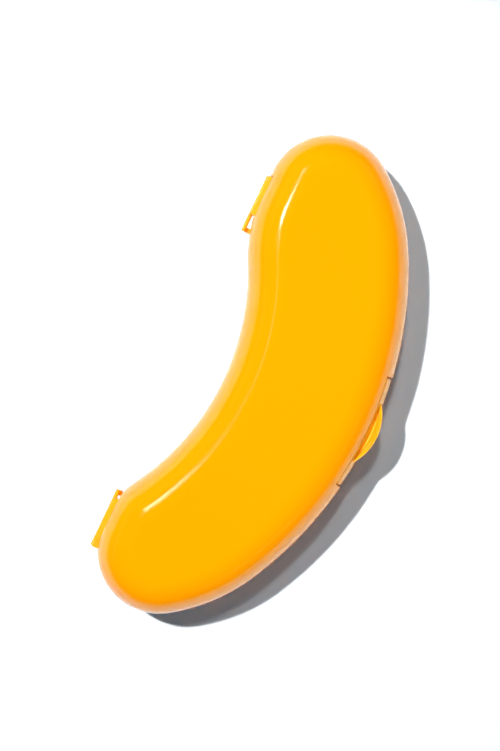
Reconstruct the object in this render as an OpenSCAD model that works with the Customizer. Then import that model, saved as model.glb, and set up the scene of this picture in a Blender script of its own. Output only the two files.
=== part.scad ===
// Hard carrying case for one banana: two bean-shaped shells, hinged along the straight back line
// and held shut by a flap latch at the front. Millimetres, +Z up, standing on its flat underside.
// The outline is a closed chain of tangent arcs, and one wall section is carried along all of it.

/* [Outline] */
// Length of the case from tip to tip
case_length = 240; // [225:1:255]
// Depth of the case from the front crest to the straight back line
case_depth = 94.1; // [90:0.1:98]
// Height of the closed case
case_height = 48; // [45:0.5:54]
// Radius of both round ends
end_radius = 29; // [27.5:0.1:30.5]
// Radius of the arcs between the round ends and the front curve
shoulder_radius = 87; // [82:0.5:92]
// Angle by which the round ends turn in below their widest point
shoulder_slope = 34; // [32:0.2:36]
// How far the hollow of the back reaches in from the back line
hollow_depth = 21.1; // [19:0.1:23]
// Length of the straight back line at the wide end
wide_flat = 11.4; // [10:0.1:13]
// Length of the straight back line at the narrow end
narrow_flat = 7.9; // [6:0.1:10]
// Radius from the back line into the hollow at the wide end
wide_lobe_radius = 71; // [66:0.5:76]
// Radius from the back line into the hollow at the narrow end
narrow_lobe_radius = 29.5; // [27:0.5:32]

/* [Wall section] */
// Wall thickness of both shells
wall = 2; // [1.6:0.1:2.4]
// Upright height of each rim
rim_height = 1.5; // [1:0.1:2.5]
// Radius of the round edge beside the flat top
edge_radius = 15; // [14:0.5:16]
// Slope at which the bulging side turns into the round edge
edge_slope = 55; // [52:1:58]
// Height of the tongues that keep the two rims in line
tongue_height = 2; // [1.5:0.1:2.5]
// Thickness of those tongues
tongue_wall = 1.2; // [1:0.1:1.6]

/* [Hinges] */
// Radius of the round bar of each hinge loop
bar_radius = 1; // [0.8:0.05:1.2]
// How far the hinge axis lies behind the back line
axis_out = 0.6; // [0.5:0.1:1]
// How deep the flat behind each hinge is cut below the back line
seat_depth = 1.6; // [1.5:0.1:1.9]
// Length of the wide end's hinge loop
wide_loop_length = 28; // [26:0.5:30]
// Length of the narrow end's hinge loop
narrow_loop_length = 28.5; // [26.5:0.5:30.5]
// Distance from the wide end's centre in to the middle of its loop
wide_loop_inset = 17.1; // [16.6:0.1:17.8]
// Distance from the narrow end's centre in to the middle of its loop
narrow_loop_inset = 3; // [2.4:0.1:3.6]
// Thickness of the loop's arms
arm_width = 2.3; // [2:0.1:2.6]
// Length of the wide end's hook
wide_hook_length = 17; // [14:0.5:20]
// Length of the narrow end's hook
narrow_hook_length = 22; // [18:0.5:22.5]
// Thickness of the hook round the bar
hook_wall = 0.85; // [0.75:0.05:0.95]
// How far the hooks and arms are let into the shells
socket_depth = 1.7; // [1.4:0.1:2]

/* [Latch] */
// Width of the recess for the latch flap
recess_width = 55.6; // [53:0.2:59]
// Depth of the recess
recess_depth = 2.6; // [2.5:0.1:2.9]
// Thickness of the wall behind the recess
recess_wall = 2; // [1.8:0.1:2.4]
// Thickness of the flap
flap_wall = 1.7; // [1.5:0.05:1.8]
// How far the flap's face lies below the shells' surface
flap_set = 0.5; // [0.4:0.05:0.6]
// Height of the flap above the parting plane
flap_rise = 14.2; // [13.8:0.1:14.6]
// Depth of the flap below the parting plane
flap_drop = 4.5; // [4:0.1:4.7]
// Radius of the thumb tab's round edge
tab_radius = 25; // [22:0.5:28]
// How far the thumb tab stands out in front of the case
tab_out = 2.7; // [2.3:0.1:3.4]
// Thickness of the thumb tab
tab_wall = 1.6; // [1.2:0.1:2]
// Width of the raised lip along the tab's edge
lip_width = 1.6; // [1.2:0.1:2]
// Height of that lip
lip_height = 1.1; // [0.8:0.1:1.4]
// How far the lip's top lies above the parting plane
tab_rise = 11.3; // [10.8:0.1:11.4]
// Radius of the latch pin
pin_radius = 0.8; // [0.7:0.05:0.9]
// Depth of the latch pin below the parting plane
pin_drop = 7.2; // [7:0.1:7.6]
// How far the latch pin lies in from the front
pin_in = 2.9; // [2.8:0.1:3.2]
// Length of the flap's knuckle on the pin
knuckle_length = 24; // [20:0.5:28]
// Thickness of the knuckle round the pin
knuckle_wall = 0.9; // [0.8:0.05:1]
// Width of each ear that holds the pin
ear_width = 3; // [2.5:0.1:3.5]
// Height of the flap's nose above the parting plane
nose_height = 7; // [6.5:0.1:7.5]
// How far the nose stands in from the flap
nose_reach = 0.9; // [0.8:0.05:1]
// Thickness of the nose
nose_wall = 1.4; // [1.2:0.1:1.6]

/* [Fits] */
// Gap round what turns on a bar or pin
running_gap = 0.06; // [0.05:0.01:0.1]
// Gap round what is seated in a socket
seat_gap = 0.05; // [0.03:0.01:0.1]
// Gap at the ends of the flats behind the hinges
flat_gap = 0.2; // [0.15:0.05:0.3]
// Gap between the tongues and the lid
tongue_gap = 0.3; // [0.25:0.05:0.4]
// Gap round the flap and beside the hinge parts
play = 0.5; // [0.4:0.05:0.6]

/* [Hidden] */
$fn = 96;

shell_colour = "#ffb900";
hinge_colour = "#fcbb06";
latch_colour = "#ffb30a";
pin_colour = "#c9ccd0";

// Places across the case: the hinge bar and the thumb tab set the two outer limits
half_height = case_height / 2;
front_y = tab_out - (case_depth + tab_out + axis_out + bar_radius) / 2;
back_y = front_y + case_depth;
axis_y = back_y + axis_out;
seat_y = back_y - seat_depth;
socket_y = seat_y - socket_depth;

// Round ends, and the shoulders that touch them from outside
end_x = case_length / 2 - end_radius;
end_y = back_y - end_radius;
shoulder_step = shoulder_radius - end_radius;
shoulder_x = end_x - shoulder_step * cos(shoulder_slope);
shoulder_y = end_y + shoulder_step * sin(shoulder_slope);

// Front curve, which touches both shoulders and the front line
shoulder_lift = shoulder_y - front_y;
front_radius = (pow(shoulder_x, 2) + pow(shoulder_lift, 2) - pow(shoulder_radius, 2))
    / (2 * (shoulder_lift - shoulder_radius));
front_centre = [0, front_y + front_radius];
front_half = atan2(shoulder_x, front_centre.y - shoulder_y);

// Hollow of the back, which touches both lobes at the given depth
wide_lobe_x = end_x - wide_flat;
narrow_lobe_x = narrow_flat - end_x;
lobe_span = wide_lobe_x - narrow_lobe_x;
hollow_x = (wide_lobe_x + narrow_lobe_x) / 2
    - hollow_depth * (wide_lobe_radius - narrow_lobe_radius) / lobe_span;
hollow_radius = (pow(wide_lobe_x - hollow_x, 2) / hollow_depth + hollow_depth) / 2 - wide_lobe_radius;
hollow_centre = [hollow_x, back_y - hollow_depth + hollow_radius];
wide_turn = asin((wide_lobe_x - hollow_x) / (hollow_radius + wide_lobe_radius));
narrow_turn = asin((hollow_x - narrow_lobe_x) / (hollow_radius + narrow_lobe_radius));

// Wall section: an upright rim, a bulging side and a round edge up to the flat top
side_radius = (half_height - rim_height - edge_radius * (1 - cos(edge_slope))) / cos(edge_slope);
flat_inset = side_radius * (1 - sin(edge_slope)) + edge_radius * sin(edge_slope);
lap = 3;
reach = flat_inset + lap;
core_inset = flat_inset + lap / 2;
core_steps = 8;

// Every second span of the outline is drawn thinner by a hair and laps into its neighbours,
// and the flat plate by two hairs, so that each joint lies inside the thicker piece
hair = 0.06;
hair_lap = 0.5;

// Hinge loops, hooks and the thick rim that they are let into
wide_loop = [end_x - wide_loop_inset - wide_loop_length / 2, end_x - wide_loop_inset + wide_loop_length / 2];
narrow_loop = [
    narrow_loop_inset - end_x - narrow_loop_length / 2,
    narrow_loop_inset - end_x + narrow_loop_length / 2
];
wide_hook_end = wide_loop[1] - arm_width - play;
wide_hook = [wide_hook_end - wide_hook_length, wide_hook_end];
narrow_hook_end = narrow_loop[0] + arm_width + play;
narrow_hook = [narrow_hook_end, narrow_hook_end + narrow_hook_length];
hook_radius = bar_radius + running_gap + hook_wall;
hook_mouth = 0.6 * bar_radius;
hook_turn = 10;
arm_top_turn = 25;
arm_back_turn = 30;
root_low = 1.1;
root_high = 5.4;
pad_depth = seat_depth + socket_depth + wall;
pad_height = side_radius / 2;
pad_turn = asin((-end_x - narrow_loop[0] + wall) / end_radius);

// Latch recess, flap and pin
recess_half = asin(recess_width / 2 / front_radius);
jamb_turn = asin(wall / front_radius);
flap_half = asin((recess_width / 2 - play) / front_radius);
nose_half = flap_half / 2;
flap_back = flap_set + flap_wall;
recess_rise = flap_rise + play;
pin_y = front_y + pin_in;
knuckle_radius = pin_radius + running_gap + knuckle_wall;
ear_radius = knuckle_radius + play / 2;
pocket_inset = pin_in + knuckle_radius + play;
pocket_drop = pin_drop - knuckle_radius - play;
recess_drop = pin_drop + knuckle_radius + 2 * play;
tab_centre = [0, front_y - tab_out + tab_radius];
tab_floor = tab_rise - lip_height - tab_wall;
tab_root = side_inset(flap_set + flap_wall / 2, tab_rise - lip_height);
ear_start = knuckle_length / 2 + play;
pin_half = ear_start + ear_width;

// Spans of the outline, anticlockwise from the front: centre, radius, start angle, end angle,
// 1 where the case lies inside the arc or -1 where it lies outside it,
// and 1 where the span laps into its neighbours or 0 where it does not
front_span = [front_centre, front_radius, 270 - front_half, 270 + front_half, 1, 0];
wide_lobe_centre = [wide_lobe_x, back_y - wide_lobe_radius];
wide_lobe_span = [wide_lobe_centre, wide_lobe_radius, 90, 90 + wide_turn, 1, 0];
hollow_span = [hollow_centre, hollow_radius, 270 - narrow_turn, 270 + wide_turn, -1, 1];
narrow_lobe_centre = [narrow_lobe_x, back_y - narrow_lobe_radius];
narrow_lobe_span = [narrow_lobe_centre, narrow_lobe_radius, 90 - narrow_turn, 90, 1, 0];
spans = [
    front_span,
    [[shoulder_x, shoulder_y], shoulder_radius, 270 + front_half, 360 - shoulder_slope, 1, 1],
    [[end_x, end_y], end_radius, -shoulder_slope, 90, 1, 0],
    wide_lobe_span,
    hollow_span,
    narrow_lobe_span,
    [[-end_x, end_y], end_radius, 90, 180 + shoulder_slope, 1, 0],
    [[-shoulder_x, shoulder_y], shoulder_radius, 180 + shoulder_slope, 270 - front_half, 1, 1]
];
straights = [[wide_lobe_x - hair_lap, end_x + hair_lap], [-end_x - hair_lap, narrow_lobe_x + hair_lap]];
pad_spans = [wide_lobe_span, narrow_lobe_span, [[-end_x, end_y], end_radius, 90, 90 + pad_turn, 1, 0]];

// Part of the front span on both sides of its middle
function front_part(half) = [front_centre, front_radius, 270 - half, 270 + half, 1, 0];

// Tongues stand on the two plain stretches of the front and in the hollow
tongue_trim = 2;
tongue_start = recess_half + jamb_turn + tongue_trim;
tongues = [
    [front_centre, front_radius, 270 - front_half + tongue_trim, 270 - tongue_start, 1, 0],
    [front_centre, front_radius, 270 + tongue_start, 270 + front_half - tongue_trim, 1, 0],
    [
        hollow_centre, hollow_radius,
        270 - narrow_turn + 2 * tongue_trim, 270 + wide_turn - 2 * tongue_trim,
        -1, 0
    ]
];

// Point on a span's arc, set in by a distance, at a share of the way along it
function span_point(s, inset, share) =
    let (way = s[4] > 0 ? share : 1 - share)
    let (angle = s[2] + way * (s[3] - s[2]))
    s[0] + (s[1] - s[4] * inset) * [cos(angle), sin(angle)];

// Inset at a height on the bulging side of a section that is set in by a distance
function side_inset(inset, height) =
    side_radius - sqrt(pow(side_radius - inset, 2) - pow(height - rim_height, 2));

// Solid half section, x inwards from the outline and y away from the parting plane
module profile(inset, end = reach) {
    turn_height = rim_height + (side_radius - inset) * cos(edge_slope);
    difference() {
        translate([inset, 0]) square([end - inset, half_height - inset]);
        difference() {
            translate([-lap, rim_height]) square([lap + flat_inset, turn_height - rim_height]);
            translate([side_radius, rim_height]) circle(side_radius - inset);
        }
        difference() {
            translate([-lap, turn_height]) square([lap + flat_inset, half_height]);
            translate([flat_inset, half_height - edge_radius]) circle(edge_radius - inset);
        }
    }
}

// What lies outside the section set in by a distance, up to a height
module outside(inset, height) {
    difference() {
        translate([-lap, 0]) square([lap + reach, height]);
        profile(inset);
    }
}

// Wall of the shell, thinner by a hair where the span laps into its neighbours
module wall_section(lapped) {
    difference() {
        profile(lapped * hair, reach - lapped * hair_lap);
        profile(wall - lapped * hair);
    }
}

// Thick rim for the hinge sockets, rooted in the middle of the wall
module pad_section(lapped) {
    difference() {
        square([pad_depth - lapped * hair, pad_height - lapped * hair]);
        outside(wall / 2 + lapped * hair, half_height);
    }
}

// Wall behind the latch recess, rooted in the middle of the shell's wall
module recess_wall_section(height) {
    difference() {
        outside(recess_depth + recess_wall, height + recess_wall);
        outside(wall / 2, half_height);
    }
}

// Wall round the latch pin's pocket in the base
module pocket_wall_section() {
    difference() {
        translate([0, pocket_drop - recess_wall])
            square([pocket_inset + recess_wall, recess_drop - pocket_drop + 2 * recess_wall]);
        outside(wall - flap_set, half_height);
    }
}

// Tongue beside the inner face of the lid, on a foot that joins it to the base's wall
module tongue_section() {
    tongue_face = wall + tongue_gap;
    tongue_back = tongue_face + tongue_wall;
    tongue_foot = 2 * rim_height;
    polygon([
        [tongue_face, -tongue_height],
        [tongue_back, -tongue_height],
        [tongue_back, tongue_foot],
        [wall / 2, tongue_foot],
        [wall / 2, 0],
        [tongue_face, 0]
    ]);
}

// Carries a section along an arc of the outline
module along_arc(s) {
    spare = s[5] * hair_lap / s[1] * 180 / PI;
    translate(s[0]) rotate(s[2] - spare) rotate_extrude(angle = s[3] - s[2] + 2 * spare) {
        if (s[4] > 0) {
            translate([s[1], 0]) mirror([1, 0]) children();
        } else {
            translate([s[1], 0]) children();
        }
    }
}

// Extrudes a drawing of the y and z axes along x
module along_x(from, to) {
    translate([from, 0, 0]) rotate([90, 0, 90]) linear_extrude(to - from) children();
}

// One half of the case standing on the parting plane, with the flat top closed by a plate
module half_shell(recess_height) {
    for (s = spans) along_arc(s) wall_section(s[5]);
    for (s = pad_spans) along_arc(s) pad_section(0);
    for (line = straights) along_x(line[0], line[1]) translate([back_y, 0]) mirror([1, 0]) wall_section(1);
    for (line = straights) along_x(line[0], line[1]) translate([back_y, 0]) mirror([1, 0]) pad_section(1);
    along_arc(front_part(recess_half + jamb_turn)) recess_wall_section(recess_height);
    translate([0, 0, half_height - wall + 2 * hair]) linear_extrude(wall - 4 * hair) polygon([
        for (s = spans) for (k = [0 : core_steps - 1]) span_point(s, core_inset, k / core_steps)
    ]);
}

// Flats cut behind the arms and the hooks
module hinge_seats() {
    flats = [[wide_loop[0], wide_loop[0] + arm_width], [wide_hook[0] - play, wide_loop[1]], narrow_loop];
    for (flat = flats) {
        translate([flat[0] - flat_gap, seat_y, -lap])
            cube([flat[1] - flat[0] + 2 * flat_gap, lap + seat_depth, lap + case_height]);
    }
}

// Box let into the seat for the root of an arm or a hook
module socket(from, to) {
    translate([from - seat_gap, socket_y - seat_gap, root_low - seat_gap])
        cube([to - from + 2 * seat_gap, socket_depth + lap, root_high - root_low + 2 * seat_gap]);
}

module base_shell() {
    color(shell_colour) translate([0, 0, half_height]) mirror([0, 0, 1]) difference() {
        union() {
            half_shell(recess_drop);
            along_arc(front_part(recess_half + jamb_turn)) pocket_wall_section();
            for (t = tongues) along_arc(t) tongue_section();
        }
        hinge_seats();
        for (loop = [wide_loop, narrow_loop]) {
            socket(loop[0], loop[0] + arm_width);
            socket(loop[1] - arm_width, loop[1]);
        }
        along_arc(front_part(recess_half)) outside(recess_depth, recess_drop);
        difference() {
            along_arc(front_part(recess_half)) translate([-lap, pocket_drop])
                square([lap + pocket_inset, recess_drop - pocket_drop]);
            for (side = [-1, 1]) latch_ear(side);
        }
        along_x(-pin_half - play, pin_half + play)
            translate([pin_y, pin_drop]) circle(pin_radius + seat_gap / 2);
    }
}

// Ear beside the flap's knuckle, left standing in the pin's pocket
module latch_ear(side) {
    mirror([side < 0 ? 1 : 0, 0, 0]) {
        along_x(ear_start, ear_start + ear_width) translate([pin_y, pin_drop]) circle(ear_radius);
        along_x(ear_start, ear_start + ear_width) translate([pin_y, pin_drop - ear_radius])
            square([2 * pocket_inset, 2 * recess_drop]);
    }
}

module lid_shell() {
    groove_floor = side_inset(flap_back, nose_height) + nose_reach + play;
    color(shell_colour) translate([0, 0, half_height]) difference() {
        half_shell(recess_rise);
        hinge_seats();
        socket(wide_hook[0], wide_hook[1]);
        socket(narrow_hook[0], narrow_hook[1]);
        along_arc(front_part(recess_half)) outside(recess_depth, recess_rise);
        along_arc(front_part(recess_half)) translate([0, nose_height - nose_wall / 2 - play / 2])
            square([groove_floor, nose_wall + play]);
    }
}

// Round bar on two arms, whose roots are let into the base
module hinge_loop(loop) {
    module arm_outline() {
        translate([axis_y, 0]) circle(bar_radius);
        polygon([
            [socket_y, -root_low],
            [socket_y, -root_high],
            [seat_y + bar_radius / 2, -root_high],
            [axis_y + bar_radius * cos(arm_back_turn), -bar_radius * sin(arm_back_turn)],
            [axis_y - bar_radius * sin(arm_top_turn), bar_radius * cos(arm_top_turn)],
            [seat_y, -root_low]
        ]);
    }
    color(hinge_colour) translate([0, 0, half_height]) {
        along_x(loop[0], loop[1]) translate([axis_y, 0]) circle(bar_radius);
        along_x(loop[0], loop[0] + arm_width) arm_outline();
        along_x(loop[1] - arm_width, loop[1]) arm_outline();
    }
}

// Hook open to the back, snapped over the bar, whose root is let into the lid
module hinge_hook(hook) {
    color(hinge_colour) translate([0, 0, half_height]) difference() {
        union() {
            along_x(hook[0], hook[1]) translate([axis_y, 0]) circle(hook_radius);
            along_x(hook[0], hook[1]) polygon([
                [socket_y, root_low],
                [socket_y, root_high],
                [seat_y + bar_radius / 2, root_high],
                [axis_y + hook_radius * sin(hook_turn), hook_radius * cos(hook_turn)],
                [axis_y, 0],
                [axis_y - hook_radius * cos(hook_turn), -hook_radius * sin(hook_turn)],
                [seat_y, root_low]
            ]);
        }
        along_x(hook[0] - play, hook[1] + play) translate([axis_y, 0]) circle(bar_radius + running_gap);
        translate([hook[0] - play, axis_y + hook_mouth, -half_height])
            cube([hook[1] - hook[0] + 2 * play, half_height, case_height]);
    }
}

// Flap that follows the shells' side, with its nose, its knuckle and the thumb tab
module latch_flap() {
    nose_root = side_inset(flap_back, nose_height);
    module plate(height) {
        difference() {
            profile(flap_set);
            profile(flap_back);
            translate([0, height]) square([reach, half_height]);
        }
    }
    module tab_outline(radius) {
        difference() {
            translate(tab_centre) circle(radius);
            translate(front_centre) circle(front_radius - tab_root);
        }
    }
    color(latch_colour) translate([0, 0, half_height]) difference() {
        union() {
            along_arc(front_part(flap_half)) plate(flap_rise);
            along_arc(front_part(flap_half)) mirror([0, 1]) plate(flap_drop);
            along_arc(front_part(nose_half))
                translate([nose_root - flap_wall / 2, nose_height - nose_wall / 2])
                square([nose_reach + flap_wall / 2, nose_wall]);
            translate([0, 0, tab_floor]) linear_extrude(tab_wall) tab_outline(tab_radius);
            translate([0, 0, tab_floor]) linear_extrude(tab_wall + lip_height) difference() {
                tab_outline(tab_radius);
                translate(tab_centre) circle(tab_radius - lip_width);
            }
            along_x(-knuckle_length / 2, knuckle_length / 2) {
                translate([pin_y, -pin_drop]) circle(knuckle_radius);
                translate([pin_y - knuckle_radius, -pin_drop])
                    square([flap_back - pin_in + knuckle_radius, pin_drop - flap_drop + play]);
            }
        }
        along_x(-knuckle_length, knuckle_length)
            translate([pin_y, -pin_drop]) circle(pin_radius + running_gap);
    }
}

module latch_pin() {
    color(pin_colour) translate([0, 0, half_height]) along_x(-pin_half, pin_half)
        translate([pin_y, -pin_drop]) circle(pin_radius);
}

base_shell();
lid_shell();
hinge_loop(wide_loop);  // hinge_loop_wide_end
hinge_loop(narrow_loop);  // hinge_loop_narrow_end
hinge_hook(wide_hook);  // hinge_hook_wide_end
hinge_hook(narrow_hook);  // hinge_hook_narrow_end
latch_flap();
latch_pin();
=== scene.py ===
"""Looks of a hinged carrying case for one banana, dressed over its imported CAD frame.

Shapes are worked out in millimetres in the frame's own axes and go into their meshes in metres.
"""

import bpy
import numpy as np
from mathutils import Matrix, Vector


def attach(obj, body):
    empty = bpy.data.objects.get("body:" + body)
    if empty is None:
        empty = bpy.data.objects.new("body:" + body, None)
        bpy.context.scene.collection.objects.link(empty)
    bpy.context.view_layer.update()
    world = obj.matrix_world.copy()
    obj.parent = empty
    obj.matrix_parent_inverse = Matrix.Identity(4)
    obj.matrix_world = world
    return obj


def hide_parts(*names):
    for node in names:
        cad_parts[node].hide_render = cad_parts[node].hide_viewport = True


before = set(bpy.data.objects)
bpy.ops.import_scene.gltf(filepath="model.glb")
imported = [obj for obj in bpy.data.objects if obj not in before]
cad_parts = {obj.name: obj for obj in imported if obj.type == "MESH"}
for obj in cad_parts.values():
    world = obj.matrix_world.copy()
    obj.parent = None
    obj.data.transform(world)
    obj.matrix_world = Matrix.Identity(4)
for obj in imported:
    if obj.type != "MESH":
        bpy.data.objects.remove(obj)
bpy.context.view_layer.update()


# Base shell
# The lower half of the case, injection-moulded in one piece from glossy yellow-orange plastic. Its
# bulging side rises to an upright rim with tongues that guide the lid. Two flats at the back take
# the hinge loops, and a recess at the front, with a deeper pocket and two ears, takes the latch.

metre = 1000
parting_z = 24.0
front_y, back_y = -46.5, 47.6
end_x, end_y, end_radius = 91.0, 18.6, 29.0
shoulder_radius, shoulder_slope = 87.0, np.radians(34)
wide_lobe_x, wide_lobe_radius = 79.6, 71.0
narrow_lobe_x, narrow_lobe_radius = -83.1, 29.5
hollow_depth = 21.1
straight_radius = 1e6

shoulder_x = end_x - (shoulder_radius - end_radius) * np.cos(shoulder_slope)
shoulder_y = end_y + (shoulder_radius - end_radius) * np.sin(shoulder_slope)
shoulder_lift = shoulder_y - front_y
front_radius = (shoulder_x**2 + shoulder_lift**2 - shoulder_radius**2) / (
    2 * (shoulder_lift - shoulder_radius))
front_turn = np.arctan2(shoulder_x, front_y + front_radius - shoulder_y)
hollow_x = (wide_lobe_x + narrow_lobe_x) / 2 - hollow_depth * (
    wide_lobe_radius - narrow_lobe_radius) / (wide_lobe_x - narrow_lobe_x)
hollow_radius = (
    (wide_lobe_x - hollow_x) ** 2 / hollow_depth + hollow_depth) / 2 - wide_lobe_radius
wide_turn = np.arcsin((wide_lobe_x - hollow_x) / (hollow_radius + wide_lobe_radius))
narrow_turn = np.arcsin((hollow_x - narrow_lobe_x) / (hollow_radius + narrow_lobe_radius))

# Arcs of the outline, anticlockwise from the narrow end's tip: centre, radius, first and last
# angle, and the side that the case lies on. The first five make the front, and a straight is a very
# large arc. The angles are counted from the directions to the narrow end, front, wide end and back.
to_narrow, to_front, to_wide, to_back = np.pi, 1.5 * np.pi, 2 * np.pi, np.pi / 2
arcs = np.array([
    [-end_x, end_y, end_radius, to_narrow, to_narrow + shoulder_slope, 1],
    [-shoulder_x, shoulder_y, shoulder_radius,
     to_narrow + shoulder_slope, to_front - front_turn, 1],
    [0, front_y + front_radius, front_radius, to_front - front_turn, to_front + front_turn, 1],
    [shoulder_x, shoulder_y, shoulder_radius, to_front + front_turn, to_wide - shoulder_slope, 1],
    [end_x, end_y, end_radius, to_wide - shoulder_slope, to_wide, 1],
    [end_x, end_y, end_radius, 0, to_back, 1],
    [wide_lobe_x, back_y - straight_radius, straight_radius,
     to_back - (end_x - wide_lobe_x) / straight_radius, to_back, 1],
    [wide_lobe_x, back_y - wide_lobe_radius, wide_lobe_radius, to_back, to_back + wide_turn, 1],
    [hollow_x, back_y - hollow_depth + hollow_radius, hollow_radius,
     to_front + wide_turn, to_front - narrow_turn, -1],
    [narrow_lobe_x, back_y - narrow_lobe_radius, narrow_lobe_radius,
     to_back - narrow_turn, to_back, 1],
    [narrow_lobe_x, back_y - straight_radius, straight_radius,
     to_back, to_back + (narrow_lobe_x + end_x) / straight_radius, 1],
    [-end_x, end_y, end_radius, to_back, to_narrow, 1],
])
front_arcs, hollow_arc = 5, 8
arc_lengths = arcs[:, 2] * np.abs(arcs[:, 4] - arcs[:, 3])
arc_starts = np.concatenate([[0], np.cumsum(arc_lengths)[:-1]])
front_length = arc_lengths[:front_arcs].sum()
round_length = arc_lengths.sum()
walk_steps = 8001


def walk_outline(way):
    """Points and outward normals at distances along the outline: a distance falls in one arc, its
    share of the arc's length gives an angle, and the angle gives the point and the normal."""
    arc = np.clip(np.searchsorted(arc_starts, way, side="right") - 1, 0, len(arcs) - 1)
    centre_x, centre_y, radius, first, last, side = arcs[arc].T
    angle = first + (way - arc_starts[arc]) / arc_lengths[arc] * (last - first)
    outward = np.stack([np.cos(angle), np.sin(angle)], -1)
    points = np.stack([centre_x, centre_y], -1) + radius[:, None] * outward
    return points, side[:, None] * outward


def front_way(x):
    """Distance along the outline at which its front has a given x, read off a fine walk."""
    probe = np.linspace(0, front_length, walk_steps)
    return np.interp(x, walk_outline(probe)[0][:, 0], probe)


def back_way(x):
    """Distance along the outline at which its back has a given x, which falls with the distance."""
    probe = np.linspace(front_length, round_length, walk_steps)
    return np.interp(-np.asarray(x), -walk_outline(probe)[0][:, 0], probe)


# The recess and its pocket, the flats that seat the hinges, and the x at which the thick rim behind
# each pair of flats comes in and goes out again
recess_half, recess_drop = 27.8, 9.96
recess_depth, recess_wall = 2.6, 2.0
pocket_inset, pocket_drop = 5.16, 4.94
seat_y, seat_press = 46.0, 0.996
seats = ((59.7, 62.4), (67.4, 88.1), (-102.45, -73.55))
pads = (((92.5, 89.5), (48.5, 45.5)), ((-66.5, -69.5), (-102.8, -105.7)))
pad_depth, pad_height = 5.3, 14.0
skin_set = 0.03
soft_edge, inner_ease, floor_ease = 0.2, 0.8, 0.6
fine = np.linspace(-2 * soft_edge, 2 * soft_edge, 7)

# Stations round the outline, even but for fine steps at the recess's and the seats' ends. The front
# and the back have the same number, so each station has a partner across the case.
even_stations = 260
recess_ends = front_way(np.array([-recess_half, recess_half]))
seat_ends = back_way(np.array(seats).ravel())
fewer = (len(seat_ends) - len(recess_ends)) * len(fine)
front_stations = np.concatenate([
    np.linspace(0, front_length, even_stations, endpoint=False),
    (recess_ends[:, None] + fine).ravel()])
back_stations = np.concatenate([
    np.linspace(front_length, round_length, even_stations - fewer, endpoint=False),
    (seat_ends[:, None] + fine).ravel()])
stations = np.concatenate([np.sort(front_stations), np.sort(back_stations)])
station_points, station_normals = walk_outline(stations)

wall, rim_height, rim_radius = 2.0, 1.5, 0.3
edge_radius, edge_slope = 15.0, np.radians(55)
side_radius = (parting_z - rim_height - edge_radius * (1 - np.cos(edge_slope))) / np.cos(edge_slope)
flat_inset = side_radius * (1 - np.sin(edge_slope)) + edge_radius * np.sin(edge_slope)
rim_rows, flat_rows = np.array([0.7, 1.1]), np.array([0.6, 2.0])


def wall_rows(edge_heights):
    """Rows of the wall's section from the rim to the flat, as inset, height and the normal's
    elevation: an upright rim, an arc of the bulging side, an arc of the round edge and two rows of
    the flat. The rows are fine round each of the given heights."""
    rim_bend = np.linspace(0, np.pi / 2, 6)
    rim = np.concatenate([rim_radius * (1 - np.cos(rim_bend)), rim_rows])
    fine_heights = (np.asarray(edge_heights)[:, None] + fine).ravel()
    turn = np.pi / 2 - edge_slope
    side = np.sort(np.concatenate([
        np.linspace(0, turn, 18), np.arcsin((fine_heights - rim_height) / side_radius)]))
    edge = np.linspace(turn, np.pi / 2, 24)[1:]
    inset = np.concatenate([
        0 * rim, side_radius * (1 - np.cos(side)), flat_inset - edge_radius * np.cos(edge),
        flat_inset + flat_rows])
    height = np.concatenate([
        rim, rim_height + side_radius * np.sin(side), parting_z - edge_radius * (1 - np.sin(edge)),
        parting_z + 0 * flat_rows])
    elevation = np.concatenate([0 * rim, side, edge, np.pi / 2 + 0 * flat_rows])
    return inset[:, None], height[:, None], elevation[:, None]


def ramp(value, start, stop):
    """Smooth step, 0 before start and 1 after stop: 3s^2 - 2s^3 of the share s between them."""
    share = np.clip((value - start) / (stop - start), 0, 1)
    return share * share * (3 - 2 * share)


def past(value, level, ease=soft_edge):
    """Smooth step from 0 below a level to 1 above it, over an ease on both sides."""
    return ramp(value, level - ease, level + ease)


def between(value, low, high):
    """1 between low and high and 0 elsewhere: a smooth step up at low times one down at high."""
    return past(value, low) * (1 - past(value, high))


def round_rim(height):
    """How far the rim's rounded corner draws the wall in: a quarter circle over its radius."""
    left = np.clip(rim_radius - height, 0, rim_radius)
    return rim_radius - np.sqrt(rim_radius**2 - left**2)


def in_front(half, ease):
    """1 at stations of the front that lie within half of the middle, 0 beyond, with soft ends."""
    on_front = stations < front_length
    return on_front * (1 - past(np.abs(station_points[:, 0]), half, ease))


def in_pads():
    """1 at stations where the rim is thick for the hinges and 0 elsewhere: for each pad, a smooth
    step up where it comes in times one down where it goes out."""
    thick = [ramp(stations, *back_way(comes_in)) * (1 - ramp(stations, *back_way(goes_out)))
             for comes_in, goes_out in pads]
    return np.where(stations > front_length, np.maximum(*thick), 0)


def shell_depths(rows, recess_end, in_deep, deep_inset, backed):
    """How far the outside and the inside lie in from the plain section, at every row and station.
    The outside goes in by the recess's depth as far as its end, and in the deep rows to the deep
    inset. The inside goes in by the wall, or by the larger of what the recess needs behind it and
    what the hinges' pads need. backed is 1 where the deep rows have a wall behind them, or 0."""
    inset, height, elevation = rows
    steepest = 1.0
    straight_in = (deep_inset - inset) / np.cos(np.minimum(elevation, steepest))
    deeper = in_deep * (np.maximum(straight_in, recess_depth) - recess_depth)
    outer = in_front(recess_half, soft_edge) * (1 - past(height, recess_end)) * (
        recess_depth + deeper)
    behind = in_front(recess_half + wall, inner_ease) * (
        1 - past(height, recess_end + recess_wall, floor_ease))
    recess_push = behind * (recess_depth + recess_wall - wall + backed * deeper)
    pad_push = in_pads() * (1 - past(height, pad_height, inner_ease)) * np.maximum(
        pad_depth - wall - inset, 0)
    return outer, wall + np.maximum(recess_push, pad_push)


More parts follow.
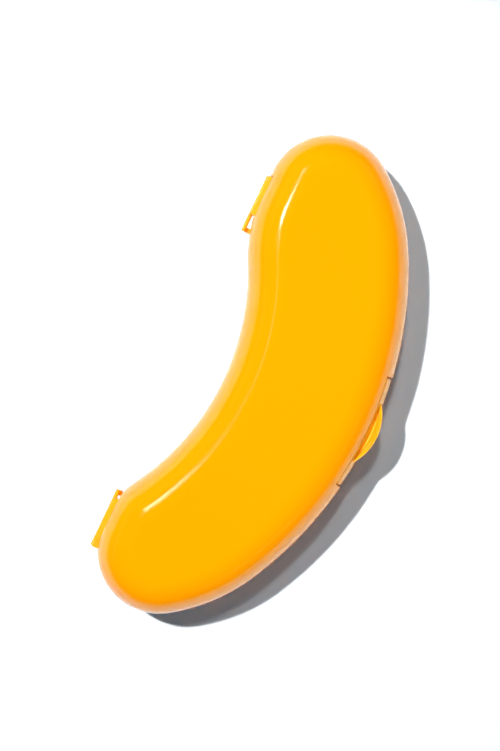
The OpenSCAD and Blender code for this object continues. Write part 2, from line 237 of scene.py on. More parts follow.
def set_in(rows, depth):
    """Places of the section's rows moved inwards along its normal by a depth, at every station, as
    x, y and height."""
    inset, height, elevation = rows
    in_by = inset + depth * np.cos(elevation)
    xy = station_points[None] - in_by[..., None] * station_normals[None]
    return np.concatenate([xy, (height - depth * np.sin(elevation))[..., None]], -1)


def cut_seats(points):
    """Presses what stands out beyond the hinges' flats back onto them, all but a hair of it, so
    that no face is lost."""
    x, y = points[..., 0], points[..., 1]
    inside = sum(between(x, low, high) for low, high in seats)
    points[..., 1] = y - seat_press * inside * np.maximum(y - seat_y, 0)
    return points


def quads(numbers):
    """Four-sided faces between the neighbouring rows and columns of a grid of point numbers."""
    corners = [numbers[:-1, :-1], numbers[1:, :-1], numbers[1:, 1:], numbers[:-1, 1:]]
    return np.stack(corners, -1).reshape(-1, 4)


def loop_faces(rows, columns, ring=False):
    """Faces of a grid numbered row by row whose rows are closed loops. In a ring, the last row is
    joined to the first."""
    numbers = np.arange(rows * columns).reshape(rows, columns)
    numbers = np.concatenate([numbers, numbers[:, :1]], 1)
    return quads(np.concatenate([numbers, numbers[:1]]) if ring else numbers)


def flat_fill(points, numbers, first, steps=14):
    """Fills a flat ring, given by its points and their numbers, with straight rungs between each
    front station and its partner at the back: a point is the partners' mean weighted by its share
    of the rung. Gives the new points, numbered from first, and the faces."""
    half = len(numbers) // 2
    near, far = np.arange(1, half), len(numbers) - np.arange(1, half)
    share = np.linspace(0, 1, steps + 1)[1:-1, None]
    inner = points[near][:, None] * (1 - share) + points[far][:, None] * share
    inner_numbers = first + np.arange(inner.shape[0] * inner.shape[1]).reshape(half - 1, -1)
    rungs = np.concatenate([numbers[near][:, None], inner_numbers, numbers[far][:, None]], 1)
    tips = [np.stack([np.full(steps, numbers[0]), rungs[0, :-1], rungs[0, 1:]], -1),
            np.stack([rungs[-1, :-1], np.full(steps, numbers[half]), rungs[-1, 1:]], -1)]
    return inner.reshape(-1, 3), [quads(rungs), *tips]


def shell_surface(rows, outer_depth, inner_depth, up):
    """Closed skin of one half: the section's rows carried round the outline, down its outside from
    the flat, across the rim and up its inside, with both flats filled. up is 1 for the lid and -1
    for the base."""
    rim_draw = round_rim(rows[1])
    outside = cut_seats(set_in(rows, skin_set + outer_depth + rim_draw))
    inside = set_in(rows, inner_depth - rim_draw)
    grid = np.concatenate([outside[::-1], inside])
    grid[..., 2] = parting_z + up * grid[..., 2]
    count = grid.shape[1]
    points, faces = grid.reshape(-1, 3), [loop_faces(len(grid), count)]
    for row, turned in ((0, 1), (len(grid) - 1, -1)):
        ring = row * count + np.arange(count)
        more, fill = flat_fill(points[ring], ring, len(points))
        points, faces = np.concatenate([points, more]), faces + [f[:, ::turned] for f in fill]
    return points, [f[:, ::up] for f in faces]


def worn_edges(mesh, blunt=1.0, sharp=0.3, spread=2):
    """How exposed each point of a mesh is to rubbing, 0 to 1. At an edge, the distance between its
    two faces' middles over the angle between the faces is the radius of the bend, and the share
    falls from 1 at a sharp radius in millimetres to 0 at a blunt one. A point takes the most of its
    edges, and is evened out with its neighbours. With c and n for the faces' middles and normals, a
    bend is outward where (c1 - c2).(n1 - n2) > 0."""
    def read(items, key, width, kind=np.float32):
        values = np.empty(len(items) * width, kind)
        items.foreach_get(key, values)
        return values.reshape(-1, width) if width > 1 else values

    def at_edges(values):
        return np.bincount(edge, values, count)

    ends = read(mesh.edges, "vertices", 2, np.int32)
    count = len(ends)
    sides = read(mesh.polygons, "loop_total", 1, np.int32)
    face = np.repeat(np.arange(len(sides)), sides)
    edge = read(mesh.loops, "edge_index", 1, np.int32)
    normal = read(mesh.polygons, "normal", 3).astype(float)[face]
    middle = read(mesh.polygons, "center", 3).astype(float)[face] * metre
    normals = np.stack([at_edges(part) for part in normal.T], -1)
    middles = np.stack([at_edges(part) for part in middle.T], -1)
    outward = 2 * at_edges((normal * middle).sum(1)) - (normals * middles).sum(1)
    apart = np.sqrt(np.maximum(
        2 * at_edges((middle * middle).sum(1)) - (middles * middles).sum(1), 0))
    least_turn = 0.001
    turn = 2 * np.arccos(np.clip(np.linalg.norm(normals, axis=1) / 2, 0, 1))
    radius = apart / np.maximum(turn, least_turn)
    share = np.where(outward > 0, np.clip((blunt - radius) / (blunt - sharp), 0, 1), 0)
    worn = np.zeros(len(mesh.vertices))
    np.maximum.at(worn, ends.ravel(), np.repeat(share, 2))
    neighbours = np.maximum(np.bincount(ends.ravel(), minlength=len(worn)), 1)
    for _ in range(spread):
        near = np.bincount(ends.ravel(), worn[ends[:, ::-1]].ravel(), len(worn)) / neighbours
        worn = (worn + near) / 2
    return worn.astype(np.float32)


def make_piece(name, *surfaces, smooth_below=32):
    """Joins surfaces, each points in millimetres and arrays of faces, into one object at the
    origin, shaded smooth but for edges that turn by more than an angle in degrees."""
    points, faces, first = [], [], 0
    for places, groups in surfaces:
        points.append(places)
        for group in groups:
            faces += (group + first).tolist()
        first += len(places)
    mesh = bpy.data.meshes.new(name)
    mesh.from_pydata(np.concatenate(points) / metre, [], faces)
    mesh.polygons.foreach_set("use_smooth", np.ones(len(faces), bool))
    mesh.set_sharp_from_angle(angle=np.radians(smooth_below))
    mesh.update()
    worn = mesh.attributes.new("worn", "FLOAT", "POINT")
    worn.data.foreach_set("value", worn_edges(mesh))
    made = bpy.data.objects.new(name, mesh)
    bpy.context.scene.collection.objects.link(made)
    return made


def closed_bar(grid):
    """Points and faces of a grid whose rows are closed loops, with its two end loops filled."""
    rows, count = grid.shape[:2]
    loop = np.arange(count)[None]
    return grid.reshape(-1, 3), [loop_faces(rows, count), loop, (rows - 1) * count + loop[:, ::-1]]


def carry_round(loop, way, up):
    """Bar whose section, a loop of inset and height, is carried along a stretch of the outline."""
    points, normals = walk_outline(way)
    xy = points[:, None] - loop[None, :, :1] * normals[:, None]
    z = np.broadcast_to(parting_z + up * loop[None, :, 1:], xy.shape[:2] + (1,))
    return closed_bar(np.concatenate([xy, z], -1))


def carry_along_x(loop, start, stop, edge=0.25):
    """Bar whose section, a loop of y and z taken anticlockwise seen from +X, is carried along x. At
    both ends it draws in over a quarter circle, so that the edges are rounded."""
    bend = np.linspace(0, np.pi / 2, 5)
    way_in, draw_in = edge * (1 - np.cos(bend)), edge * (1 - np.sin(bend))
    x = np.concatenate([start + way_in, stop - way_in[::-1]])
    along = np.roll(loop, -1, 0) - np.roll(loop, 1, 0)
    outward = np.stack([along[:, 1], -along[:, 0]], -1) / np.linalg.norm(along, axis=1)[:, None]
    draws = np.concatenate([draw_in, draw_in[::-1]])
    section = loop[None] - draws[:, None, None] * outward[None]
    x = np.broadcast_to(x[:, None, None], section.shape[:2] + (1,))
    points, faces = closed_bar(np.concatenate([x, section], -1))
    return points, [f[:, ::-1] for f in faces]


def arc_points(centre, radius, first, last, count=14):
    """Points on a circle, or on an ellipse of two radii, between two angles in degrees."""
    angle = np.radians(np.linspace(first, last, count))
    return np.asarray(centre) + radius * np.stack([np.cos(angle), np.sin(angle)], -1)


def round_corners(corners, radius, count=4):
    """Loop through corners, each cut back by a radius along both its sides, or by less than half of
    a short side, and bridged by the quadratic blend of the two cut points and the corner."""
    corners = np.asarray(corners, float)
    before, after = np.roll(corners, 1, 0) - corners, np.roll(corners, -1, 0) - corners
    long_before, long_after = np.linalg.norm(before, axis=1), np.linalg.norm(after, axis=1)
    cut = np.minimum(radius, 0.45 * np.minimum(long_before, long_after))
    start = (corners + before * (cut / long_before)[:, None])[:, None]
    stop = (corners + after * (cut / long_after)[:, None])[:, None]
    share = np.linspace(0, 1, count)[None, :, None]
    pull = 2 * corners[:, None] * share * (1 - share)
    return (start * (1 - share) ** 2 + pull + stop * share**2).reshape(-1, 2)


base_rows = wall_rows([pocket_drop, recess_drop])
in_pocket = past(base_rows[1], pocket_drop)
base_depths = shell_depths(base_rows, recess_drop, in_pocket, pocket_inset, 1)
base_skin = shell_surface(base_rows, *base_depths, -1)

# Tongues stand up along the two plain stretches of the front and in the hollow. Their section is
# given by insets and by drops below the parting plane.
tongue_root, tongue_face, tongue_back = 1.0, 2.3, 3.5
tongue_top, tongue_step, tongue_foot = -2.0, 0.6, 3.0
tongue_near, tongue_far, tongue_short, tongue_round = 36.0, 77.6, 8.2, 0.25
tongue_loop = round_corners([
    [tongue_face, tongue_top], [tongue_back, tongue_top], [tongue_back, tongue_foot],
    [tongue_root, tongue_foot], [tongue_root, tongue_step], [tongue_face, tongue_step]],
    tongue_round)
tongue_stretches = [
    (front_way(-tongue_far), front_way(-tongue_near)),
    (front_way(tongue_near), front_way(tongue_far)),
    (arc_starts[hollow_arc] + tongue_short, arc_starts[hollow_arc + 1] - tongue_short)]
tongues = [carry_round(tongue_loop, np.linspace(*stretch, 60), -1) for stretch in tongue_stretches]

# Ears hold the latch's pin at both ends of its knuckle
pin_y, pin_z = -43.6, 16.8
ear_radius, ear_foot, ear_depth = 2.01, 3.2, 3.0
ear_start, ear_stop = 12.5, 15.5
ear_loop = np.concatenate([
    arc_points((pin_y, pin_z), ear_radius, 90, 270),
    [[pin_y, pin_z - ear_foot], [pin_y + ear_depth, pin_z - ear_foot],
     [pin_y + ear_depth, pin_z + ear_radius]]])
ears = [carry_along_x(ear_loop, *reach)
        for reach in ((ear_start, ear_stop), (-ear_stop, -ear_start))]
base_shell = make_piece("base_shell_skin", base_skin, *tongues, *ears)
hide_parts("base_shell")
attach(base_shell, "base")


class Wire:
    """An output socket of a material's nodes: arithmetic on it adds Math nodes to the same tree."""

    def __init__(self, tree, socket=None):
        self.tree, self.socket = tree, socket

    def node(self, kind, settings=None, inputs=None, output=0):
        """Adds a node, sets its settings, then gives its sockets values or links, and wraps one
        output."""
        added = self.tree.nodes.new(kind)
        for key, value in (settings or {}).items():
            setattr(added, key, value)
        for key, value in (inputs or {}).items():
            if isinstance(value, Wire):
                self.tree.links.new(value.socket, added.inputs[key])
            else:
                added.inputs[key].default_value = value
        return Wire(self.tree, added.outputs[output])

    def maths(self, operation, *terms):
        """Adds a Math node that works on the given terms."""
        return self.node("ShaderNodeMath", {"operation": operation}, dict(enumerate(terms)))

    def noise(self, scale, detail):
        """Soft random value from 0 to 1, read at this place."""
        inputs = {"Vector": self, "Scale": scale, "Detail": detail}
        return self.node("ShaderNodeTexNoise", None, inputs, "Fac")

    def mix(self, first, second):
        """Colour that goes from first to second as this value goes from 0 to 1."""
        inputs = {0: self, 6: first, 7: second}
        return self.node("ShaderNodeMix", {"data_type": "RGBA"}, inputs, 2)

    def into(self, node, name):
        """Links this output to a node's socket."""
        self.tree.links.new(self.socket, node.inputs[name])

    def __add__(self, other):
        return self.maths("ADD", self, other)

    def __radd__(self, other):
        return self.maths("ADD", other, self)

    def __mul__(self, other):
        return self.maths("MULTIPLY", self, other)

    def __rmul__(self, other):
        return self.maths("MULTIPLY", other, self)


def new_material(name):
    """A material with its shader and a wire into its nodes."""
    material = bpy.data.materials.new(name)
    material.use_nodes = True
    tree = material.node_tree
    return material, tree.nodes["Principled BSDF"], Wire(tree)


def moulded_plastic(name, body, pale, gloss, peel=0.02):
    """Moulded plastic with a soft gloss: two close tones in slow clouds as the melt flowed,
    hairline rubs that dull the gloss in drifts, edges rubbed paler and duller in patches, and a
    faint orange-peel bump."""
    material, shader, wire = new_material(name)
    place = wire.node("ShaderNodeTexCoord", output="Object")
    flow = place.noise(scale=9.0, detail=3.0)
    turned = wire.node("ShaderNodeMapping", None, {
        "Vector": place, "Rotation": (0.2, 0.3, 0.6), "Scale": (25, 900, 60)})
    rubs = turned.noise(scale=1.0, detail=2.0)
    drift = place.noise(scale=26.0, detail=2.0)
    skin = place.noise(scale=420.0, detail=2.0)
    edge = wire.node("ShaderNodeAttribute", {"attribute_name": "worn"}, None, "Fac")
    rubbed = edge * (0.35 + 0.9 * drift)
    rubbed_pale = tuple(0.85 * part + 0.12 for part in pale[:3]) + (1,)
    edge_pales, edge_dulls, drift_dulls, hair_dulls = 0.4, 0.10, 0.04, 0.04
    (edge_pales * rubbed).mix(flow.mix(body, pale), rubbed_pale).into(shader, "Base Color")
    hairline, peel_height = 0.66, 0.0004
    hair = rubs.maths("GREATER_THAN", rubs, hairline) * drift
    dull = gloss + drift_dulls * drift + hair_dulls * hair + edge_dulls * rubbed
    dull.into(shader, "Roughness")
    bump = wire.node("ShaderNodeBump", None, {
        "Strength": peel, "Distance": peel_height, "Height": skin})
    bump.into(shader, "Normal")
    shader.inputs["IOR"].default_value = 1.5
    shader.inputs["Specular Tint"].default_value = (1.0, 0.9, 0.22, 1)
    return material


shell_plastic = moulded_plastic(
    "shell plastic", (0.86, 0.281, 0.0003, 1), (0.88, 0.293, 0.0004, 1), 0.09)
base_shell.data.materials.append(shell_plastic)


# Lid shell
# The upper half of the case, moulded like the base and from the same plastic. Its recess takes the
# upper part of the latch flap, with a groove for the flap's nose, and its two flats at the back
# take the hinge hooks.

lid_recess_rise = 15.0
groove_low, groove_high, groove_inset = 6.05, 7.95, 4.19
lid_rows = wall_rows([groove_low, groove_high, lid_recess_rise])
in_groove = between(lid_rows[1], groove_low, groove_high)
lid_depths = shell_depths(lid_rows, lid_recess_rise, in_groove, groove_inset, 0)
lid_shell = make_piece("lid_shell_skin", shell_surface(lid_rows, *lid_depths, 1))
lid_shell.data.materials.append(shell_plastic)
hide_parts("lid_shell")
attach(lid_shell, "lid")


# Hinge loops
# One at each end of the back: a round bar on two arms, moulded in yellow-orange plastic. The arms
# end in square roots that are pressed into sockets of the base.

axis_y, bar_radius = 48.2, 1.0
socket_y, root_low, root_high, root_round = 44.3, 1.1, 5.4, 0.3
arm_width, arm_step, arm_from, arm_to = 2.3, 0.5, -30, 115
loop_reaches = {"wide_end": (59.9, 87.9), "narrow_end": (-102.25, -73.75)}
hinge_plastic = moulded_plastic(
    "hinge plastic", (0.85, 0.335, 0.0004, 1), (0.87, 0.35, 0.0006, 1), 0.20)
axis = (axis_y, parting_z)
bar_loop = arc_points(axis, bar_radius, 0, 360, 33)[:-1]
arm_loop = np.concatenate([
    arc_points(axis, bar_radius, arm_from, arm_to),
    round_corners([
        [seat_y, parting_z - root_low], [socket_y, parting_z - root_low],
        [socket_y, parting_z - root_high], [seat_y + arm_step, parting_z - root_high]],
        root_round)])
hinges = []
for end, (start, stop) in loop_reaches.items():
    loop = make_piece(
        "hinge_loop_bar_" + end, carry_along_x(bar_loop, start, stop),
        carry_along_x(arm_loop, start, start + arm_width),
        carry_along_x(arm_loop, stop - arm_width, stop))
    hinges.append(loop)
    loop.data.materials.append(hinge_plastic)
    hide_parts("hinge_loop_" + end)
    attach(loop, "base")


# Hinge hooks
# One for each loop: a block with a bore that clips over the bar, open to the back, moulded in the
# same plastic as the loops. Its root is pressed into a socket of the lid, and a thin cap runs on
# from it over one arm of the loop.

hook_radius, hook_bore, hook_mouth, hook_step = 1.91, 1.06, 0.6, 0.3
hook_rounds = np.array([0.1, 1.0, root_round, root_round, root_round])
hook_edge, jaw_from = 0.2, 190
cap_low, cap_out, cap_rounds = 2.6, 0.1, np.array([0.2, 0.2, 0.8, 0.2])
hook_reaches = {
    "wide_end": ((68.1, 85.1), (84.6, 87.8)),
    "narrow_end": ((-99.45, -77.45), (-102.15, -98.95))}
mouth_out = np.degrees(np.arccos(hook_mouth / hook_radius))
mouth_in = np.degrees(np.arccos(hook_mouth / hook_bore))
hook_loop = np.concatenate([
    arc_points(axis, hook_radius, mouth_out, mouth_out, 1),
    round_corners([
        [axis_y + hook_mouth, parting_z + hook_radius + hook_step],
        [axis_y + hook_mouth, parting_z + root_high], [socket_y, parting_z + root_high],
        [socket_y, parting_z + root_low], [seat_y, parting_z + root_low]], hook_rounds),
    arc_points(axis, hook_radius, jaw_from, 360 - mouth_out),
    arc_points(axis, hook_bore, 360 - mouth_in, mouth_in, 20)])
cap_loop = round_corners([
    [socket_y, parting_z + cap_low], [axis_y + cap_out, parting_z + cap_low],
    [axis_y + cap_out, parting_z + root_high], [socket_y, parting_z + root_high]], cap_rounds)
for end, (hook_reach, cap_reach) in hook_reaches.items():
    hook = make_piece(
        "hinge_hook_strip_" + end, carry_along_x(hook_loop, *hook_reach, edge=hook_edge),
        carry_along_x(cap_loop, *cap_reach, edge=hook_edge))
    hinges.append(hook)
    hook.data.materials.append(hinge_plastic)
    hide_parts("hinge_hook_" + end)
    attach(hook, "lid")


# Latch flap
# A curved plate that lies in the recess across both rims, moulded in one with its knuckle on the
# pin, the nose that clicks into the lid, and a half-moon thumb tab with a raised lip.

flap_half, flap_rise, flap_drop = 27.3, 13.2, 4.5
flap_set, flap_wall, flap_edge = 0.5, 1.7, 0.45
knuckle_half, knuckle_radius, knuckle_bore, knuckle_round = 12.0, 1.76, 0.86, 0.2
tab_radius, tab_out, tab_wall, tab_rise, tab_edge = 25.0, 2.4, 1.6, 11.3, 0.8
lip_width, lip_height, lip_crown, lip_foot = 1.6, 1.1, 0.35, 0.3
scoop, scoop_share, least_hollow = 2.6, 0.9, 0.05


def side_inset(set_depth, height):
    """Inset of the bulging side, set in by a depth, at a height on either side of the parting
    plane: the side's radius less half the chord, at that height, of a circle smaller by the
    depth."""
    beyond = np.maximum(np.abs(height) - rim_height, 0)
    return side_radius - np.sqrt((side_radius - set_depth) ** 2 - beyond**2)


def flap_plate():
    """Section of the flap, up its face, over its rounded top and down its back, carried along the
    front. Near both ends the section draws in towards its own middle line over a quarter circle."""
    half_wall = flap_wall / 2
    height = np.linspace(-flap_drop + flap_edge, flap_rise - flap_edge, 32)
    over = np.linspace(np.pi / 2, -np.pi / 2, 9)[1:-1]
    level = np.concatenate([
        height, flap_rise - flap_edge + flap_edge * np.cos(over),
        height[::-1], -flap_drop + flap_edge - flap_edge * np.cos(over[::-1])])
    thick = np.concatenate([0 * height - 1, -np.sin(over), 0 * height + 1, -np.sin(over[::-1])])
    bend = np.linspace(0, np.pi / 2, 7)
    reach_in, draw_in = flap_edge * (1 - np.cos(bend)), flap_edge * (1 - np.sin(bend))
    start, stop = front_way(-flap_half), front_way(flap_half)
    plain = np.linspace(start + flap_edge, stop - flap_edge, 90)[1:-1]
    way = np.concatenate([start + reach_in, plain, stop - reach_in[::-1]])
    narrow = np.concatenate([draw_in, 0 * plain, draw_in[::-1]])[:, None]
    middle_level, half_level = (flap_rise - flap_drop) / 2, (flap_rise + flap_drop) / 2
    shrunk = (level - middle_level) * (1 - narrow / half_level) + middle_level
    inset = side_inset(flap_set + half_wall, shrunk) + thick * (half_wall - narrow)
    points, normals = walk_outline(way)
    xy = points[:, None] - inset[..., None] * normals[:, None]
    return closed_bar(np.concatenate([xy, (parting_z + shrunk)[..., None]], -1))


def thumb_tab():
    """Half-moon: at each angle of its round edge a section runs out from inside the flap along the
    underside, round the edge, over the lip, back along the floor and up the flap in a hollow curve,
    the quadratic blend of its ends and the corner. It thins to nothing where the edge meets the
    flap. The flap's own arc has its centre far behind the tab's, and the cosine rule gives the
    distance out to that arc at any level."""
    floor_level = tab_rise - lip_height
    under = floor_level - tab_wall
    centre_y = front_y - tab_out + tab_radius
    apart = front_y + front_radius - centre_y
    face = front_radius - side_inset(flap_set, floor_level)
    reach = np.arccos((face**2 - apart**2 - tab_radius**2) / (2 * tab_radius * apart))
    angle = np.linspace(-reach, reach, 81)[:, None]

    def flap_at(depth, level):
        arc_radius = front_radius - side_inset(depth, level)
        return np.sqrt(arc_radius**2 - (apart * np.sin(angle)) ** 2) - apart * np.cos(angle)

    root, corner = flap_at(flap_set + flap_wall / 2, floor_level), flap_at(flap_set, floor_level)
    lip_half, foot_radius = lip_width / 2, tab_radius - lip_width - lip_foot
    rim = np.concatenate([
        arc_points((tab_radius - tab_edge, under + tab_edge), tab_edge, -90, 0, 7),
        arc_points(
            (tab_radius - lip_half, tab_rise - lip_crown), (lip_half, lip_crown), 0, 180, 13),
        arc_points((foot_radius, floor_level + lip_foot), lip_foot, 0, -90, 5)])
    hollow_reach = np.clip(scoop_share * (foot_radius - corner), least_hollow, scoop)
    hollow_top = floor_level + hollow_reach
    share = np.linspace(0, 1, 12)
    hollow_out = ((corner + hollow_reach) * (1 - share) ** 2 + 2 * corner * share * (1 - share)
                  + flap_at(flap_set, hollow_top) * share**2)
    hollow_level = floor_level + hollow_reach * share**2
    radius = np.concatenate([root, np.maximum(rim[:, 0], root), hollow_out, root], 1)
    level = np.concatenate([under + 0 * root, rim[:, 1] + 0 * root, hollow_level, hollow_top], 1)
    return closed_bar(np.stack([
        radius * np.sin(angle), centre_y - radius * np.cos(angle), parting_z + level], -1))


def knuckle_tube(turns=32):
    """Tube on the pin: a rounded oblong of radius and x turned once round the pin's line."""
    radius, x = round_corners([
        [knuckle_bore, -knuckle_half], [knuckle_radius, -knuckle_half],
        [knuckle_radius, knuckle_half], [knuckle_bore, knuckle_half]], knuckle_round).T
    turn = np.linspace(0, 2 * np.pi, turns + 1)[:-1, None]
    grid = np.stack([
        x + 0 * turn, pin_y + radius * np.cos(turn), pin_z + radius * np.sin(turn)], -1)
    return grid.reshape(-1, 3), [loop_faces(turns, len(x), ring=True)]


# The web joins the knuckle to the flap's back, and the nose stands on the back higher up
web_drop, web_round = 4.0, 0.2
web_front, web_back = pin_y - knuckle_radius, front_y + flap_set + flap_wall
web_top = parting_z - web_drop
web_loop = round_corners([
    [web_front, pin_z], [web_back, pin_z], [web_back, web_top], [web_front, web_top]], web_round)
web = carry_along_x(web_loop, -knuckle_half, knuckle_half)
nose_height, nose_wall, nose_reach, nose_sunk, nose_round = 7.0, 1.4, 0.9, 0.8, 0.35
nose_root = side_inset(flap_set + flap_wall, nose_height)
nose_in, nose_tip = nose_root - nose_sunk, nose_root + nose_reach
nose_low, nose_high = nose_height - nose_wall / 2, nose_height + nose_wall / 2
nose_loop = round_corners([
    [nose_in, nose_low], [nose_in, nose_high], [nose_tip, nose_high], [nose_tip, nose_low]],
    nose_round)
nose_way = np.linspace(front_way(-flap_half / 2), front_way(flap_half / 2), 40)
nose = carry_round(nose_loop, nose_way, 1)
latch_flap = make_piece(
    "latch_flap_moulding", flap_plate(), thumb_tab(), knuckle_tube(), web, nose)
latch_plastic = moulded_plastic(
    "latch plastic", (0.86, 0.302, 0.0003, 1), (0.88, 0.315, 0.0004, 1), 0.17)
latch_flap.data.materials.append(latch_plastic)
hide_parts("latch_flap")
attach(latch_flap, "latch")


# Latch pin
# A plain steel wire through the knuckle, held in the base's two ears. Drawing the wire has left
# fine lines along it.

pin_steel, pin_shader, pin_wire = new_material("pin steel")
pin_place = pin_wire.node("ShaderNodeTexCoord", output="Object")
drawn = pin_wire.node("ShaderNodeMapping", None, {"Vector": pin_place, "Scale": (40, 4000, 4000)})
lines = drawn.noise(scale=1.0, detail=3.0)
lines.mix((0.52, 0.52, 0.54, 1), (0.66, 0.66, 0.68, 1)).into(pin_shader, "Base Color")
(0.22 + 0.18 * lines).into(pin_shader, "Roughness")
pin_shader.inputs["Metallic"].default_value = 1.0
pin_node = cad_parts["latch_pin"]
pin_node.data.materials.clear()
pin_node.data.materials.append(pin_steel)


# Floor, light and camera
# A plain white floor in a pale surround, a hard key from behind the hinges that casts the shadow to
# the front, weak fills, small lamps that only glint on the plastic, and a camera straight overhead.

floor_hub, floor_fine, floor_coarse, floor_reach, spokes = 0.002, 0.30, 0.32, 3.0, 240
ring_radius = np.concatenate([
    np.linspace(floor_hub, floor_fine, 120), np.geomspace(floor_coarse, floor_reach, 24)])[:, None]
spoke = np.linspace(0, 2 * np.pi, spokes, endpoint=False)
floor_grid = np.stack([
    ring_radius * np.cos(spoke), ring_radius * np.sin(spoke), 0 * ring_radius * spoke], -1)


def floor_disc(name, grid, closed):
    """A floor of rings and spokes, with its middle closed by one face where asked."""
    mesh = bpy.data.meshes.new(name)
    middle = [np.arange(spokes).tolist()] if closed else []
    mesh.from_pydata(grid.reshape(-1, 3), [], loop_faces(len(grid), spokes).tolist() + middle)
    made = bpy.data.objects.new(name, mesh)
    bpy.context.scene.collection.objects.link(made)
    paint, shader, wire = new_material(name + " paint")
    mesh.materials.append(paint)
    shader.inputs["Roughness"].default_value = 0.9
    shader.inputs["Specular IOR Level"].default_value = 0.0
    shader.inputs["Emission Strength"].default_value = 1.0
    return made, shader, wire


# Painted cool light: a faint cool glow is painted into the floor as emission round the case, none
# of it underneath. It stands in for fill light and keeps the shadow grey beside the warm plastic.
# Each floor point's gap to the outline is its offset from the nearest outline point along that
# point's normal.
black = (0, 0, 0, 1)
glow_full, glow_fades, glow_ends = 2.5, 150, 270
lit_grid = floor_grid[:-1]
floor, floor_shader, floor_wire = floor_disc("floor", lit_grid, True)
floor_shader.inputs["Base Color"].default_value = (0.81, 0.86, 0.89, 1)
rim_points, rim_normals = walk_outline(np.linspace(0, round_length, 360, endpoint=False))
floor_xy = metre * lit_grid.reshape(-1, 3)[:, :2]
gap_x, gap_y = floor_xy[:, :1] - rim_points[:, 0], floor_xy[:, 1:] - rim_points[:, 1]
nearest = np.argmin(gap_x**2 + gap_y**2, 1)
outline_gap = ((floor_xy - rim_points[nearest]) * rim_normals[nearest]).sum(1)
painted_glow_mask = ramp(outline_gap, 0, glow_full) * (1 - ramp(np.hypot(*floor_xy.T), glow_fades, glow_ends))
glow_values = floor.data.attributes.new("painted_glow_mask", "FLOAT", "POINT")
glow_values.data.foreach_set("value", painted_glow_mask.astype(np.float32))
# Painted light: the floor's emission is cool where the glow mask is set and lights the shadow round
# the case.
floor_painted_glow = floor_wire.node("ShaderNodeAttribute", {"attribute_name": "painted_glow_mask"}, None, "Fac")
floor_painted_glow.mix(black, (0, 0.075, 0.13, 1)).into(floor_shader, "Emission Color")

# Beyond the lamps' pool the floor runs out into a pale surround that only the camera sees.
surround_grey, surround_lift = (0.80, 0.81, 0.82, 1), 0.0002
key_target = np.array([-0.009, 0.034, 0.0])
pool_fades, pool_ends = 0.228, 0.275
surround, surround_shader, surround_wire = floor_disc(
    "surround", floor_grid[ring_radius[:, 0] > pool_fades], False)
surround.location = key_target + [0, 0, surround_lift]
surround_shader.inputs["Base Color"].default_value = black
surround_shader.inputs["Emission Color"].default_value = surround_grey
surround_place = surround_wire.node("ShaderNodeTexCoord", output="Object")
far = surround_wire.node(
    "ShaderNodeVectorMath", {"operation": "LENGTH"}, {0: surround_place}, "Value")
cover = surround_wire.node(
    "ShaderNodeMapRange", {"interpolation_type": "SMOOTHSTEP"},
    {0: far, 1: pool_fades, 2: pool_ends})
cover.into(surround_shader, "Alpha")
surround.visible_diffuse = surround.visible_glossy = surround.visible_shadow = False
world = bpy.data.worlds.new("studio")
bpy.context.scene.world = world
world.use_nodes = True
world.node_tree.nodes["Background"].inputs["Color"].default_value = surround_grey
world.cycles_visibility.diffuse = world.cycles_visibility.glossy = False


def lamp(name, kind, power, place, target=(0, 0, 0.02), unseen="glossy", only=None, **settings):
    """A lamp at a place, shining at a target along its own -Z. It leaves out either the glossy or
    the diffuse light, and may light only one collection."""
    light = bpy.data.lights.new(name, kind)
    light.energy = power
    for key, value in settings.items():
        setattr(light, key, value)
    made = bpy.data.objects.new(name, light)
    bpy.context.scene.collection.objects.link(made)
    place, target = Vector(place), Vector(target)
    turn = (target - place).to_track_quat("-Z", "Y").to_matrix().to_4x4()
    made.matrix_world = Matrix.Translation(place) @ turn
    setattr(made, "visible_" + unseen, False)
    if only:
        made.light_linking.receiver_collection = only


def collect(name, *pieces):
    """A collection of pieces, for lamps that light nothing else."""
    collection = bpy.data.collections.new(name)
    for piece in pieces:
        collection.objects.link(piece)
    return collection


def sky(bearing_x, bearing_y, elevation):
    """Direction with a bearing, a unit vector in the floor, at an elevation in degrees."""
    level, rise = np.cos(np.radians(elevation)), np.sin(np.radians(elevation))
    return np.array([bearing_x * level, bearing_y * level, rise])


def cone(radius, distance):
    """Full angle of a cone that covers a radius at a distance."""
    return 2 * np.arctan(radius / distance)


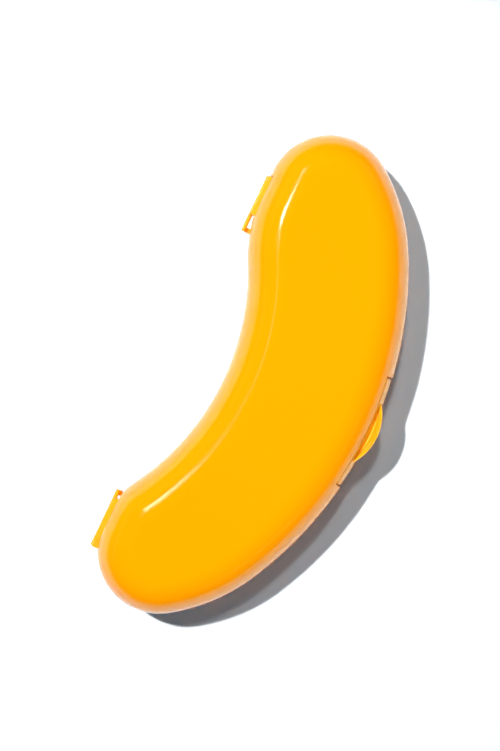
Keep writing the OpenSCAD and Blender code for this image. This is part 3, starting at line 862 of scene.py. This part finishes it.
far_off, key_pool, wide_pool = 3.0, 0.31, 0.24
key_from, second_from = sky(0.228, 0.974, 65.2), sky(0.845, 0.535, 70)
lamp("key", "SPOT", 500.0, key_target + far_off * key_from, key_target,
     shadow_soft_size=0.055, spot_blend=0.6, spot_size=cone(key_pool, far_off))
lamp("second", "SUN", 0.34, second_from, (0, 0, 0), angle=np.radians(4.5))
wide_target = np.array([0.09, 0.0, 0.0])
lamp("wide end", "SPOT", 52.0, wide_target + far_off * second_from, wide_target,
     shadow_soft_size=0.118, spot_blend=1.0, spot_size=cone(wide_pool, far_off))

# Glints on the lid's round edge, each a power, a place, a width and the spread in degrees of the
# grid in front of it, then the light on the tab's lip and the fills
wide_ridge, glint_colour = (0.09, 0.02, 0.045), (1.0, 1.1, 3.6)
glints = ((0.054, (0.10, 0.39, 0.60), 0.10, 41), (0.20, (0.25, 0.42, 0.60), 0.12, 180),
          (0.028, (0.022, 0.315, 0.60), 0.022, 180), (0.009, (-0.03, 0.31, 0.60), 0.03, 180))
for number, (power, place, width, spread) in enumerate(glints, 1):
    lamp("glint %d" % number, "AREA", power, place, wide_ridge, "diffuse", shape="DISK", size=width,
         spread=np.radians(spread), color=glint_colour)
lamp("lip light", "AREA", 7.0, (0.02, -0.40, 0.50), unseen="diffuse",
     only=collect("tab only", latch_flap), shape="RECTANGLE", size=0.9, size_y=0.2)
case_only = collect("case only", base_shell, lid_shell, latch_flap, pin_node, *hinges)
lamp("near fill", "AREA", 0.35, (0.40, -0.15, 0.15), only=case_only, shape="DISK", size=0.2,
     color=(0.80, 0.95, 1.1))
lamp("low fill", "AREA", 3.2, (-0.25, -0.62, 0.30), only=case_only, shape="RECTANGLE", size=0.8,
     size_y=0.1)
lamp("back fill", "AREA", 1.5, (-0.05, 0.62, 0.26), only=case_only, shape="RECTANGLE", size=1.0,
     size_y=0.2)

camera_data = bpy.data.cameras.new("camera")
camera = bpy.data.objects.new("camera", camera_data)
bpy.context.scene.collection.objects.link(camera)
camera_x, camera_y, camera_above, view_tall, sensor = 0.00061, 0.0161, 0.85, 0.34956, 36.0
turn_cos, turn_sin = 0.4323, 0.9017
camera.matrix_world = Matrix([
    (turn_cos, turn_sin, 0, camera_x), (-turn_sin, turn_cos, 0, camera_y),
    (0, 0, 1, camera_above + parting_z / metre), (0, 0, 0, 1)])
camera_data.sensor_fit = "VERTICAL"
camera_data.sensor_height = sensor
camera_data.lens = sensor * camera_above / view_tall
camera_data.clip_start = 0.01
bpy.context.scene.camera = camera
bpy.context.scene.view_settings.view_transform = "Standard"
